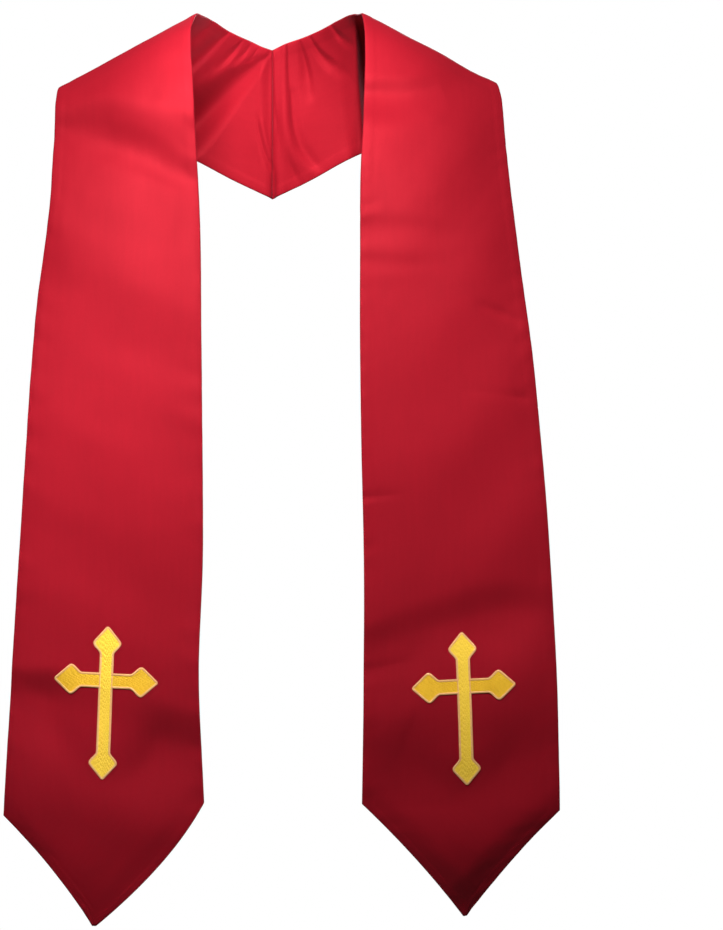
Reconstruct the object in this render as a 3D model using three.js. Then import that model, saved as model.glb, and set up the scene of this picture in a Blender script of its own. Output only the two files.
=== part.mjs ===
// Choir stole of red satin, filled out as if worn, with nobody in it.
//
// Two lined strips meet in a mitred seam behind the neck, pass over the shoulders and hang down the
// front to pointed hems, each with an embroidered cross. Every strip is a face and a lining: two thin
// walls laid out either side of one middle surface, which is worked out from the section tables.
//
// Millimetres. +X is the wearer's left, -Y the front, +Z up; the origin lies midway between the places
// where the neck edges pass over the shoulders.
import * as THREE from "three";

// ---- Cloth and thread ----
const CLOTH = 1.0; // wall of the face and of the lining
const GAP = 0.3; // between neighbouring pieces
const THREAD = 1.0; // how thick the embroidery lies on the face
const COLUMNS = 9; // mesh cells across a strip
const TIP_WIDTH = 3; // blunt end of a pointed hem
const TIP_ROWS = 7;

// ---- The strips ----
// A row is one section: the neck edge, the outer edge, how far the middle of the section bows away from
// the wearer, and the number of mesh rows from here to the next section. Rows go from the seam at the
// centre back to the corners of the hem, and from there the edges run to the tip, whose shifts say how
// far the middle of each edge lies off the straight line, along X.
const SECTION = ["neckX", "neckY", "neckZ", "outerX", "outerY", "outerZ", "bow", "rows"];
const SHOULDER = 8; // the section that lies along the top of the shoulder
const RIGHT_SECTIONS = table(SECTION, [
  [-5.15, 80, -20, -5.15, 105, -149, 0, 3],
  [-14, 78, -17.3, -40, 102, -132.8, 2, 3],
  [-24, 73, -13.2, -74, 95, -115.5, 4, 4],
  [-35, 65, -9.4, -110, 82, -101, 5, 4],
  [-45.4, 54, -5.5, -142, 65, -90, 4, 4],
  [-55, 38, -1, -161, 46, -80, 2, 3],
  [-61.5, 24, 0.8, -175, 28, -72, 1, 2],
  [-66, 10, 1, -184, 12, -66, 0, 2],
  [-69.3, 0, 0, -187.3, 0, -64, 0, 2],
  [-72.8, -12, -9, -189, -10, -74, 1, 2],
  [-74, -21, -20, -189.4, -19, -88, 2, 2],
  [-73.2, -33, -42, -189.8, -30, -110, 4, 2],
  [-71.4, -44, -66, -190.5, -40, -134, 6, 2],
  [-69.8, -56, -98, -191.3, -49, -162, 7, 2],
  [-67.4, -69, -135, -194.2, -58, -195, 7, 3],
  [-64.4, -83, -200, -200.6, -68, -245, 6, 4],
  [-63.2, -92, -285, -204.8, -76, -300, 5, 4],
  [-62.2, -95, -370, -209.3, -80, -375, 5, 4],
  [-61.8, -95, -460, -214.6, -82, -460, 4, 8],
  [-65.2, -93, -560, -221, -81, -560, 3, 9],
  [-61.1, -90, -665.5, -227.9, -80, -676.5, 2, 0],
]);
const RIGHT_TIP = { x: -152.9, y: -80, z: -766.8, neckShift: 8.5, outerShift: 4.5 };
const LEFT_SECTIONS = table(SECTION, [
  [-4.85, 80, -20, -4.85, 105, -149, 0, 3],
  [8, 79.5, -14, 30, 104, -132.3, 2, 3],
  [23, 77.5, -9, 62, 99, -115, 4, 4],
  [38, 72.5, -3, 96, 92, -101, 5, 4],
  [51, 63.5, 3, 124, 83, -90, 4, 4],
  [62, 50, 6.4, 150, 65, -79, 2, 3],
  [68, 33, 4.8, 171, 43, -70, 1, 2],
  [70.6, 15, 2, 184, 19, -62, 0, 2],
  [71.4, 0, -0.4, 187, 0, -60, 0, 2],
  [72.7, -12, -9, 190, -10, -72, 1, 2],
  [73.5, -21, -20, 191, -19, -86, 2, 2],
  [73.8, -33, -42, 192.2, -30, -108, 4, 2],
  [72.9, -44, -66, 193.8, -40, -132, 6, 2],
  [71.2, -56, -98, 195.9, -49, -160, 7, 2],
  [69, -69, -135, 199.4, -58, -193, 7, 3],
  [68, -83, -200, 205.3, -68, -243, 6, 4],
  [67.7, -92, -285, 212, -76, -300, 5, 4],
  [68.6, -95, -370, 219, -80, -375, 5, 4],
  [70.6, -95, -460, 225.4, -82, -460, 4, 8],
  [70.6, -93, -560, 231.1, -81, -560, 3, 9],
  [69.6, -87, -667, 234.7, -78, -673, 2, 0],
]);
const LEFT_TIP = { x: 156.2, y: -68, z: -760.2, neckShift: 2.5, outerShift: -3 };

// ---- Folds ----
// A fold runs along a straight line as seen from the front. Its height, away from the wearer, is given
// at both ends, and its half-widths on the left and on the right of the line as one walks along it.
const FOLD = ["x0", "z0", "height0", "x1", "z1", "height1", "left", "right"];
const BACK_FOLDS = table(FOLD, [
  // wearer's right: gathers fanning out from the neck edge, and the one long hollow under them
  [-10, -27, 4, -38, -52, 8, 12, 12],
  [-38, -52, 8, -92, -84, 4, 15, 15],
  [-14, -48, -3, -46, -78, -3, 14, 14],
  [-46, -4, 3.5, -76, -30, 2.5, 7, 7],
  [-34, -9, 3.5, -50, -30, 2, 7, 7],
  [-22, -15, 3, -27, -28, 1.5, 6, 6],
  [-40, -6, -3, -62, -34, -2.5, 7, 7],
  [-28, -11, -3, -48, -40, -2, 7, 7],
  [-56, 0, -3, -76, -18, -2, 7, 7],
  [-18, -84, 2.5, -7, -120, 2, 8, 9],
  [-27, -88, -2.5, -20, -116, -1.5, 9, 9],
  // wearer's left: the seam allowance, shorter gathers, and the deep fold behind the front edge
  [3, -18, -3, 5, -140, -1.5, 9, 10],
  [18, -18, 3, 25, -58, 2, 8, 8],
  [24, -12, -3, 36, -46, -2, 7, 7],
  [30, -8, 3, 50, -44, 2.5, 8, 8],
  [46, 0, 2.5, 54, -18, 2, 7, 7],
  [10, -62, 2.5, 33, -126, 3, 10, 10],
  [7, -104, -2.5, 29, -130, -2.5, 9, 9],
  [62, -6, -4, 67, -104, -4, 22, 10],
  [77, -14, 8, 84, -100, 9, 12, 30],
]);
const FRONT_FOLDS = table(FOLD, [
  // wearer's right: hollows, and the swells under them
  [-186, -94, -1.5, -150, -106, -4, 30, 30],
  [-150, -106, -4, -68, -150, -3, 30, 30],
  [-184, -142, 2, -84, -180, 3, 30, 30],
  [-200, -300, -2, -72, -262, -2, 42, 42],
  [-206, -400, 2, -66, -440, 2, 48, 48],
  [-205, -572, -4, -150, -592, -4, 32, 32],
  [-150, -592, -4, -78, -632, -4, 32, 32],
  [-214, -520, 2, -76, -556, 2.5, 34, 34],
  [-190, -690, 2.5, -96, -680, 3, 30, 30],
  // wearer's left
  [72, -80, -4, 132, -80, -2.5, 24, 24],
  [74, -112, 2.5, 140, -120, 2, 26, 26],
  [196, -132, -2.5, 112, -178, -2, 30, 30],
  [74, -262, 2, 204, -250, 2, 36, 36],
  [74, -330, -2, 214, -350, -2, 44, 44],
  [74, -430, 2, 222, -420, 2, 48, 48],
  [74, -534, -4, 156, -515, -4, 30, 30],
  [156, -515, -4, 230, -508, -3, 30, 30],
  [150, -558, 2, 230, -552, 2.5, 28, 28],
  [74, -640, -3.5, 190, -632, -3.5, 32, 32],
  [110, -688, 4, 206, -688, 4, 28, 28],
]);

// ---- The crosses ----
// Seen from the front: where the middle of the crossing lies, and how far the cross leans (degrees,
// anticlockwise).
const RIGHT_CROSS = { x: -141.7, z: -563.5, lean: -2.6 };
const LEFT_CROSS = { x: 152.1, z: -567.6, lean: 2.5 };
const UPRIGHT = { halfWidth: 5.5, bud: 11.8 };
const ARM = { halfWidth: 6.3, bud: 12.6 };
const REACH = { up: 44.6, down: 82, sideways: 43.2 }; // from the middle of the crossing to each tip
const BUD_LENGTH = 21.5; // from a limb's neck to its tip
const BUD_TIP = 0.8; // half-width of the blunt tip
const LIMB_CELLS = 2; // mesh cells across a limb
const STEM_STEP = 8; // between the mesh rows of a limb
// The patch that the stitching stiffens, and the share of their height that folds keep in it.
const STIFF = { halfWidth: 56, halfHeight: 82, edge: 0.6, folds: 0.2 };
// The outline of a bud: how far along it, and how far from the limb's half-width to the bud's.
const BUD = table(["along", "swell"], [
  [0, 0],
  [0.14, 0.3],
  [0.3, 0.82],
  [0.38, 1],
  [0.46, 0.94],
]);

const SATIN = new THREE.MeshStandardMaterial({ color: 0xb3182c, roughness: 0.42, metalness: 0 });
const BACKING = new THREE.MeshStandardMaterial({ color: 0xa51527, roughness: 0.45, metalness: 0 });
const GOLD = new THREE.MeshStandardMaterial({ color: 0xe8b93a, roughness: 0.5, metalness: 0.1 });

function table(columns, rows) {
  return rows.map((row) => Object.fromEntries(columns.map((name, i) => [name, row[i]])));
}

// How much of a fold's height is left at (x, z): a rounded ridge along the line, rounded at its ends.
function foldHeight(fold, x, z) {
  const line = new THREE.Vector2(fold.x1 - fold.x0, fold.z1 - fold.z0);
  const length = line.length();
  line.divideScalar(length);
  const from = new THREE.Vector2(x - fold.x0, z - fold.z0);
  const along = from.dot(line);
  const side = line.cross(from);
  const past = Math.max(0, -along, along - length);
  const half = side > 0 ? fold.left : fold.right;
  const away = Math.hypot(side, past) / half;
  if (away >= 1) return 0;
  const share = THREE.MathUtils.clamp(along / length, 0, 1);
  return THREE.MathUtils.lerp(fold.height0, fold.height1, share) * 0.5 * (1 + Math.cos(Math.PI * away));
}

// The middle surface of one strip: a point for every place along it (in sections, fractions between
// them) and across it (0 at the neck edge, 1 at the outer edge).
class Strip {
  constructor(sections, tip, side, cross) {
    this.side = side; // -1 on the wearer's right, 1 on the left
    this.cross = cross;
    this.sections = sections;
    this.last = sections.length - 1;
    this.tip = tip;
    const curve = (points) => new THREE.CatmullRomCurve3(points, false, "centripetal");
    this.neck = curve(sections.map((s) => new THREE.Vector3(s.neckX, s.neckY, s.neckZ)));
    this.outer = curve(sections.map((s) => new THREE.Vector3(s.outerX, s.outerY, s.outerZ)));
    this.bow = curve(sections.map((s, i) => new THREE.Vector3(s.bow, i, 0)));
  }

  // The two edges and the bow at one place along; past the last section they run on to the tip.
  section(along) {
    const t = Math.min(along, this.last) / this.last;
    const point = Math.max(0, along - this.last);
    const neck = this.neck.getPoint(t);
    const outer = this.outer.getPoint(t);
    const toTip = (edge, side, shift) => {
      const end = new THREE.Vector3(this.tip.x + (side * TIP_WIDTH) / 2, this.tip.y, this.tip.z);
      edge.lerp(end, point).x += shift * 4 * point * (1 - point);
    };
    toTip(neck, -this.side, this.tip.neckShift);
    toTip(outer, this.side, this.tip.outerShift);
    return { neck, outer, bow: this.bow.getPoint(t).x * (1 - point) };
  }

  ruled(along, across) {
    const { neck, outer } = this.section(along);
    return neck.lerp(outer, across);
  }

  // Away from the wearer, from two short steps on the surface that the given function describes.
  normal(surface, along, across) {
    const step = 0.02;
    const end = this.last + 1;
    const a = [Math.max(0, along - step), Math.min(end, along + step)];
    const b = [Math.max(0, across - step), Math.min(1, across + step)];
    const down = surface(a[1], across).sub(surface(a[0], across));
    const out = surface(along, b[1]).sub(surface(along, b[0]));
    const normal = down.cross(out).multiplyScalar(this.side).normalize();
    if (along === 0) normal.setX(0).normalize(); // the seam stays in its plane
    return normal;
  }

  // The share of its folds that the cloth keeps at (x, z): few under the embroidery, which stiffens it.
  suppleness(x, z) {
    const lift = (REACH.up - REACH.down) / 2; // the cross is longer below its crossing
    const across = (x - this.cross.x) / STIFF.halfWidth;
    const up = (z - this.cross.z - lift) / STIFF.halfHeight;
    const away = Math.hypot(across, up);
    return THREE.MathUtils.lerp(STIFF.folds, 1, THREE.MathUtils.smoothstep(away, STIFF.edge, 1));
  }

  point(along, across) {
    const ruled = this.ruled(along, across);
    const bow = this.section(along).bow * 4 * across * (1 - across);
    const back = 1 - THREE.MathUtils.smoothstep(along, SHOULDER - 3, SHOULDER - 1);
    const front = THREE.MathUtils.smoothstep(along, SHOULDER, SHOULDER + 3);
    let height = bow;
    for (const fold of back > 0 ? BACK_FOLDS : []) height += back * foldHeight(fold, ruled.x, ruled.z);
    const supple = front * this.suppleness(ruled.x, ruled.z);
    for (const fold of front > 0 ? FRONT_FOLDS : []) height += supple * foldHeight(fold, ruled.x, ruled.z);
    const normal = this.normal((u, v) => this.ruled(u, v), along, across);
    return ruled.addScaledVector(normal, height);
  }

  // A point of the cloth moved out from the wearer, or towards them where `out` is negative.
  moved(along, across, out) {
    const normal = this.normal((u, v) => this.point(u, v), along, across);
    return this.point(along, across).addScaledVector(normal, out);
  }

  // The same, but on the flat cells of the mesh, so that what lies on the cloth follows its walls.
  onCells(along, across, out) {
    const bay = Math.floor(along);
    const rows = this.sections[bay].rows;
    const row = Math.floor((along - bay) * rows);
    const column = Math.min(COLUMNS - 1, Math.floor(across * COLUMNS));
    const [u0, u1] = [bay + row / rows, bay + (row + 1) / rows];
    const [v0, v1] = [column / COLUMNS, (column + 1) / COLUMNS];
    const share = (across - v0) / (v1 - v0);
    const upper = this.moved(u0, v0, out).lerp(this.moved(u0, v1, out), share);
    const lower = this.moved(u1, v0, out).lerp(this.moved(u1, v1, out), share);
    return upper.lerp(lower, (along - u0) / (u1 - u0));
  }

  // Where the mesh rows lie along the strip.
  rows() {
    const bays = this.sections.map((s, i) => Array.from({ length: s.rows }, (_, k) => i + k / s.rows));
    const tip = Array.from({ length: TIP_ROWS + 1 }, (_, k) => this.last + k / TIP_ROWS);
    return [...bays.flat(), ...tip];
  }

  // The place on the front panel that is seen at (x, z).
  find(x, z) {
    let low = SHOULDER + 3;
    let high = this.last;
    let across = 0.5;
    for (let i = 0; i < 40; i++) {
      const middle = (low + high) / 2;
      const { neck, outer } = this.section(middle);
      across = (x - neck.x) / (outer.x - neck.x);
      if (THREE.MathUtils.lerp(neck.z, outer.z, across) > z) low = middle;
      else high = middle;
    }
    return { along: low, across };
  }
}

// A closed mesh from triangles given as triples of points; equal points become one vertex.
function closedMesh(triangles) {
  const index = [];
  const position = [];
  const seen = new Map();
  for (const point of triangles.flat()) {
    const key = point.toArray().map((c) => c.toFixed(4)).join();
    if (!seen.has(key)) {
      seen.set(key, position.length / 3);
      position.push(...point.toArray());
    }
    index.push(seen.get(key));
  }
  const geometry = new THREE.BufferGeometry();
  geometry.setAttribute("position", new THREE.Float32BufferAttribute(position, 3));
  geometry.setIndex(index);
  geometry.computeVertexNormals();
  return geometry;
}

// The triangles between two grids of points that lie back to back: both skins and the rim all round.
// `outwards` says which way round the top grid is seen from outside.
function wall(top, bottom, outwards, openEdges = []) {
  const triangles = [];
  const quad = (a, b, c, d) => {
    const [p, q] = outwards > 0 ? [b, d] : [d, b];
    triangles.push([a, p, c], [a, c, q]);
  };
  const rows = top.length - 1;
  const columns = top[0].length - 1;
  for (let i = 0; i < rows; i++)
    for (let j = 0; j < columns; j++) {
      quad(top[i][j], top[i + 1][j], top[i + 1][j + 1], top[i][j + 1]);
      quad(bottom[i][j], bottom[i][j + 1], bottom[i + 1][j + 1], bottom[i + 1][j]);
    }
  for (let i = 0; i < rows; i++) {
    quad(top[i][0], bottom[i][0], bottom[i + 1][0], top[i + 1][0]);
    quad(top[i][columns], top[i + 1][columns], bottom[i + 1][columns], bottom[i][columns]);
  }
  for (let j = 0; j < columns; j++) {
    if (!openEdges.includes("start"))
      quad(top[0][j], top[0][j + 1], bottom[0][j + 1], bottom[0][j]);
    if (!openEdges.includes("end"))
      quad(top[rows][j], bottom[rows][j], bottom[rows][j + 1], top[rows][j + 1]);
  }
  return triangles;
}

// One layer of cloth between two distances from the strip's middle surface.
function layer(strip, inner, outer) {
  const columns = Array.from({ length: COLUMNS + 1 }, (_, j) => j / COLUMNS);
  const row = (along, out) => columns.map((across) => strip.moved(along, across, out));
  const grid = (out) => strip.rows().map((along) => row(along, out));
  return closedMesh(wall(grid(outer), grid(inner), strip.side));
}

// The outline of a limb: rows of distance from the middle of the crossing and half-width.
function limbOutline(start, limb, reach) {
  const neck = reach - BUD_LENGTH;
  const steps = Math.max(1, Math.round((neck - start) / STEM_STEP));
  const step = (neck - start) / steps;
  const rows = Array.from({ length: steps }, (_, i) => [start + step * i, limb.halfWidth]);
  for (const { along, swell } of BUD)
    rows.push([neck + along * BUD_LENGTH, THREE.MathUtils.lerp(limb.halfWidth, limb.bud, swell)]);
  const [corner, half] = rows.at(-1);
  for (const share of [0.5, 1])
    rows.push([THREE.MathUtils.lerp(corner, reach, share), THREE.MathUtils.lerp(half, BUD_TIP, share)]);
  return rows;
}

// A budded cross lying on a strip: four limbs round a middle block, all one piece.
function embroidery(strip, place) {
  const inner = GAP / 2 + CLOTH + GAP;
  const lean = THREE.MathUtils.degToRad(place.lean);
  const onCloth = (p, q, out) => {
    const x = place.x + p * Math.cos(lean) - q * Math.sin(lean);
    const z = place.z + p * Math.sin(lean) + q * Math.cos(lean);
    const { along, across } = strip.find(x, z);
    return strip.onCells(along, across, out);
  };
  const cells = Array.from({ length: LIMB_CELLS + 1 }, (_, j) => (2 * j) / LIMB_CELLS - 1);
  const limbs = [
    { turn: 0, outline: limbOutline(ARM.halfWidth, UPRIGHT, REACH.up) },
    { turn: 1, outline: limbOutline(UPRIGHT.halfWidth, ARM, REACH.sideways) },
    { turn: 2, outline: limbOutline(ARM.halfWidth, UPRIGHT, REACH.down) },
    { turn: 3, outline: limbOutline(UPRIGHT.halfWidth, ARM, REACH.sideways) },
  ];
  const quarter = [[1, 0], [0, 1], [-1, 0], [0, -1]]; // cosine and sine of each quarter turn
  const triangles = limbs.flatMap(({ turn, outline }) => {
    const [cos, sin] = quarter[turn];
    const grid = (out) =>
      outline.map(([far, half]) =>
        cells.map((c) => onCloth(c * half * cos - far * sin, c * half * sin + far * cos, out)),
      );
    return wall(grid(inner + THREAD), grid(inner), -1, ["start"]);
  });
  const middle = (out) =>
    cells.map((q) => cells.map((p) => onCloth(p * UPRIGHT.halfWidth, q * ARM.halfWidth, out)));
  const skins = (top, bottom) => {
    for (let i = 0; i < LIMB_CELLS; i++)
      for (let j = 0; j < LIMB_CELLS; j++) {
        triangles.push([top[i][j], top[i + 1][j + 1], top[i + 1][j]]);
        triangles.push([top[i][j], top[i][j + 1], top[i + 1][j + 1]]);
        triangles.push([bottom[i][j], bottom[i + 1][j], bottom[i + 1][j + 1]]);
        triangles.push([bottom[i][j], bottom[i + 1][j + 1], bottom[i][j + 1]]);
      }
  };
  skins(middle(inner + THREAD), middle(inner));
  return closedMesh(triangles);
}

const stole = new THREE.Group();
function add(name, geometry, material) {
  const mesh = new THREE.Mesh(geometry, material);
  mesh.name = name;
  stole.add(mesh);
}

const strips = {
  right: new Strip(RIGHT_SECTIONS, RIGHT_TIP, -1, RIGHT_CROSS),
  left: new Strip(LEFT_SECTIONS, LEFT_TIP, 1, LEFT_CROSS),
};
for (const [side, strip] of Object.entries(strips)) {
  add(`${side}_face`, layer(strip, GAP / 2, GAP / 2 + CLOTH), SATIN);
  add(`${side}_lining`, layer(strip, -GAP / 2 - CLOTH, -GAP / 2), BACKING);
  add(`${side}_cross`, embroidery(strip, strip.cross), GOLD);
}

export default stole;
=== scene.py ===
# %% [markdown]
# # A red satin choir stole, worn by nobody
#
# A choir stole is a long band of cloth that lies round the neck and hangs down the front. A maker cuts
# two strips twice each, a face and a backing, turns them through, and joins them with a mitred seam at
# the centre back. A gold cross is embroidered near each pointed hem.
#
# This lesson builds each layer of satin as a thin closed shell. The shells follow one middle surface,
# which numpy works out from a short table of sections, and every fold is a line on that surface.
# Thread by thread, the two crosses are laid on top.

import bpy
import numpy as np
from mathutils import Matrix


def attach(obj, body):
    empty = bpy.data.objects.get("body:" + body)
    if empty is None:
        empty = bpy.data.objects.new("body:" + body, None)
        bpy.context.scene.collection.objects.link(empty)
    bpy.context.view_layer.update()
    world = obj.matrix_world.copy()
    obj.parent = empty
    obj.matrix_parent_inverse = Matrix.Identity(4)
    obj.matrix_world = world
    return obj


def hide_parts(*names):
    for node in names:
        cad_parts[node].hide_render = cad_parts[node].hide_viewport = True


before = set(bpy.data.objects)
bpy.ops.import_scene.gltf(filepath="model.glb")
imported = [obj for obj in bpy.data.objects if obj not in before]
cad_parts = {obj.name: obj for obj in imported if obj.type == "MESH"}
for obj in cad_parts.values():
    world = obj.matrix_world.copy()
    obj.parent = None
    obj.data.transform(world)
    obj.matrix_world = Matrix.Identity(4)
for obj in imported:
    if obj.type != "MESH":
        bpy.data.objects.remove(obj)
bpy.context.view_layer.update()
MM = 0.001  # metres

# %% [markdown]
# ## The camera
#
# The stole is seen straight from the front, from a good distance, with the lens at the height of the
# middle of the panels. A long lens keeps the back of the neck nearly as large as the front. The lens is
# shifted sideways so that the stole stands left of the middle of the picture.

# %% The camera
PICTURE_TALL = 930  # pixels
CAMERA_AWAY = 2.6  # metres in front of the shoulders
CAMERA_HEIGHT = -0.3857  # metres, from the shoulders
FOCAL_PIXELS = 3040  # the focal length, counted in pixels of the picture
STOLE_LEFT_OF_MIDDLE = 83.5  # pixels
SENSOR = 36  # millimetres

camera = bpy.data.objects.new("camera", bpy.data.cameras.new("camera"))
camera.location = (0, -CAMERA_AWAY, CAMERA_HEIGHT)
camera.rotation_euler = (np.pi / 2, 0, 0)
camera.data.sensor_width = SENSOR
camera.data.lens = FOCAL_PIXELS / PICTURE_TALL * SENSOR
camera.data.shift_x = STOLE_LEFT_OF_MIDDLE / PICTURE_TALL
bpy.context.scene.collection.objects.link(camera)
bpy.context.scene.camera = camera
print("lens, mm:", round(camera.data.lens, 1))

# %% [markdown]
# ## The cut: one row for each section
#
# A section runs across the strip from the neck edge to the outer edge. The rows start at the seam at
# the centre back, go round the neck and over the shoulder, and end at the corners of the hem. Between
# them the edges are smooth curves. The last column says how far the middle of the section bows out.

# %% The sections, in millimetres
NECK, OUTER, BOW = slice(0, 3), slice(3, 6), 6
SHOULDER = 8  # the row that lies along the top of the shoulder
PANEL = SHOULDER + 3  # the row from which the strip hangs down the front
BACK_FADES = (SHOULDER - 3, SHOULDER - 1)  # the rows over which the folds behind the neck die away
RIGHT_SECTIONS = np.array([
    # neck x, y, z, outer x, y, z, bow
    (-5, 80, -20, -5, 105, -149, 0),
    (-14, 78, -17.3, -40, 102, -132.8, 2),
    (-24, 73, -13.2, -74, 95, -115.5, 4),
    (-35, 65, -9.4, -110, 82, -101, 5),
    (-45.4, 54, -5.5, -142, 65, -90, 4),
    (-55, 38, -1, -161, 46, -80, 2),
    (-61.5, 24, 0.8, -175, 28, -72, 1),
    (-66, 10, 1, -184, 12, -66, 0),
    (-69.3, 0, 0, -187.3, 0, -64, 0),
    (-72.8, -12, -9, -189, -10, -74, 1),
    (-74, -21, -20, -189.4, -19, -88, 2),
    (-73.2, -33, -42, -189.8, -30, -110, 4),
    (-71.4, -44, -66, -190.5, -40, -134, 6),
    (-69.8, -56, -98, -191.3, -49, -162, 7),
    (-67.4, -69, -135, -194.2, -58, -195, 7),
    (-64.4, -83, -200, -200.6, -68, -245, 6),
    (-63.2, -92, -285, -204.8, -76, -300, 5),
    (-62.2, -95, -370, -209.3, -80, -375, 5),
    (-61.8, -95, -460, -214.6, -82, -460, 4),
    (-65.2, -93, -560, -221, -81, -560, 3),
    (-61.1, -90, -665.5, -227.9, -80, -676.5, 2),
])
LEFT_SECTIONS = np.array([
    (-5, 80, -20, -5, 105, -149, 0),
    (8, 79.5, -14, 30, 104, -132.3, 2),
    (23, 77.5, -9, 62, 99, -115, 4),
    (38, 72.5, -3, 96, 92, -101, 5),
    (51, 63.5, 3, 124, 83, -90, 4),
    (62, 50, 6.4, 150, 65, -79, 2),
    (68, 33, 4.8, 171, 43, -70, 1),
    (70.6, 15, 2, 184, 19, -62, 0),
    (71.4, 0, -0.4, 187, 0, -60, 0),
    (72.7, -12, -9, 190, -10, -72, 1),
    (73.5, -21, -20, 191, -19, -86, 2),
    (73.8, -33, -42, 192.2, -30, -108, 4),
    (72.9, -44, -66, 193.8, -40, -132, 6),
    (71.2, -56, -98, 195.9, -49, -160, 7),
    (69, -69, -135, 199.4, -58, -193, 7),
    (68, -83, -200, 205.3, -68, -243, 6),
    (67.7, -92, -285, 212, -76, -300, 5),
    (68.6, -95, -370, 219, -80, -375, 5),
    (70.6, -95, -460, 225.4, -82, -460, 4),
    (70.6, -93, -560, 231.1, -81, -560, 3),
    (69.6, -87, -667, 234.7, -78, -673, 2),
])
# the tip of each hem, and how far the middle of its two edges lies off a straight line, along x
RIGHT_TIP = {"at": (-152.9, -80, -769.0), "neck_shift": 8.5, "outer_shift": 4.5}
LEFT_TIP = {"at": (157.0, -68, -764.5), "neck_shift": 4, "outer_shift": -4}
TIP_WIDTH = 3
print("sections:", len(RIGHT_SECTIONS), "on the right,", len(LEFT_SECTIONS), "on the left")

# %% [markdown]
# ## The folds: one path for each
#
# Satin shows its shape through its folds: they catch the light along one flank and lose it along the
# other. Each fold here is a soft ridge or trough along a path, as seen from the front. Every station
# of a path gives its place, the fold's height there, and the width of its two flanks, first the one
# on the left hand of somebody who walks along the path in the picture. Heights are measured away from
# the wearer, so that behind the neck a positive one is a hollow to somebody who looks in from the front.

# %% The folds behind the neck, in millimetres
# each station: (x, z, height, width of one flank, width of the other)
HOLLOW = [
    # the long hollow that widens towards the wearer's right shoulder
    [(-9.7, -24.7, 0.8, 2.5, 4), (-17.7, -31.5, 2.6, 8, 8), (-28.3, -41, 4.8, 13, 13),
     (-41.6, -53, 7.8, 17, 18), (-55.7, -66, 12.5, 21, 21), (-70.8, -80, 15.5, 25, 25),
     (-83.2, -91, 15.5, 27, 27)],
    # the gathers above it fan out from the neck edge
    [(-54.6, 1.8, 1.1, 4, 4), (-62.6, -5.4, 1.9, 5, 5.5),
     (-71.6, -13.4, 2, 6, 7), (-81.4, -21.5, 1.4, 7, 7)],
    [(-43.4, -7, 1, 3, 3.5), (-50.4, -13, 2.6, 5, 6), (-61.9, -25, 3.2, 7, 8),
     (-73.4, -35.5, 3.2, 8, 9), (-84.9, -45, 2.8, 9, 9)],
    [(-33.2, -15, 0.9, 2.5, 3), (-38, -21.5, 1.8, 4, 5),
     (-45.1, -30, 1.9, 5, 6), (-54, -39, 0.8, 6, 7)],
    [(-24.8, -16.5, 0.6, 2, 2.5), (-29.2, -23, 1.1, 3, 3.5), (-36, -31, 0.7, 4, 4.5)],
    [(-18.6, -19.4, 0.4, 1.6, 1.6), (-22.1, -24.7, 0.6, 2.2, 2.2), (-25.7, -29.1, 0.3, 2.5, 2.5)],
    [(-17.7, -25.6, 0.3, 1.5, 1.5), (-24.8, -28.7, 0.8, 2, 2), (-29.2, -30, 0.4, 2, 2)],
    # a crease and a ridge low down, that run into the seam
    [(-18.6, -79.5, 0.4, 3, 3), (-15.9, -92.8, 1.2, 4, 4),
     (-11.9, -108.7, 1.6, 4.5, 4), (-7.1, -121.1, 1.4, 4, 4)],
    [(-14.2, -82.2, -0.5, 3, 3), (-10.6, -99.9, -1.1, 3.5, 3.5), (-7.1, -112.3, -0.8, 3, 3)],
]
SEAM = [
    # the valley in which the seam lies, the groove beside it and the pocket at its foot
    [(-6.2, -22, 1.4, 3, 6), (-6.2, -36.2, 3.2, 4, 10), (-5.8, -62.7, 3.2, 4, 11),
     (-5.3, -89.3, 2.6, 4, 10), (-4.4, -115.8, 2, 4, 8), (-4.4, -146.8, 2, 4, 7)],
    [(-4, -50.3, 0.4, 1.5, 1.2), (-2.7, -71.6, 0.9, 2, 1.5),
     (-1.3, -84, 0.9, 2.5, 1.8), (-3.1, -103.4, 0.4, 2, 1.5)],
    [(-3.2, -122, 0.8, 2, 2), (-2.8, -134, 3, 3, 3.6), (-3.6, -147.7, 4.5, 3.4, 4)],
    # the ridge over the seam allowance swings away at the bottom; two fine lines mark its edges
    [(6.2, -16.7, -1.4, 3, 8), (6.2, -36.2, -2, 3.5, 9), (6.6, -62.7, -2.4, 5, 9),
     (7.1, -82.2, -2.8, 6, 9), (9.7, -98.1, -2.6, 7, 10), (13.3, -108.7, -2.2, 8, 12),
     (22.1, -119.4, -1.3, 8, 12), (32.7, -126.4, -0.6, 8, 10)],
    [(2.7, -18.5, 0.3, 1, 1), (2.7, -32.6, 0.2, 1, 1)],
    [(8, -15.8, 0.35, 1.2, 1.2), (8.2, -61, 0.3, 1.3, 1.3)],
    # the soft shade beside the ridge, and the crease beneath it
    [(12.4, -60.1, 0.8, 7, 4), (14.2, -82.2, 1.2, 8, 5),
     (19.5, -100.8, 1.2, 8, 5), (30.1, -115.8, 1, 8, 6)],
    [(8.8, -109.6, 0.4, 3, 4), (11.5, -118.5, 0.9, 4, 6),
     (15.9, -129.1, 1.2, 5, 8), (21.2, -138.8, 1.2, 6, 9)],
]
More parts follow.
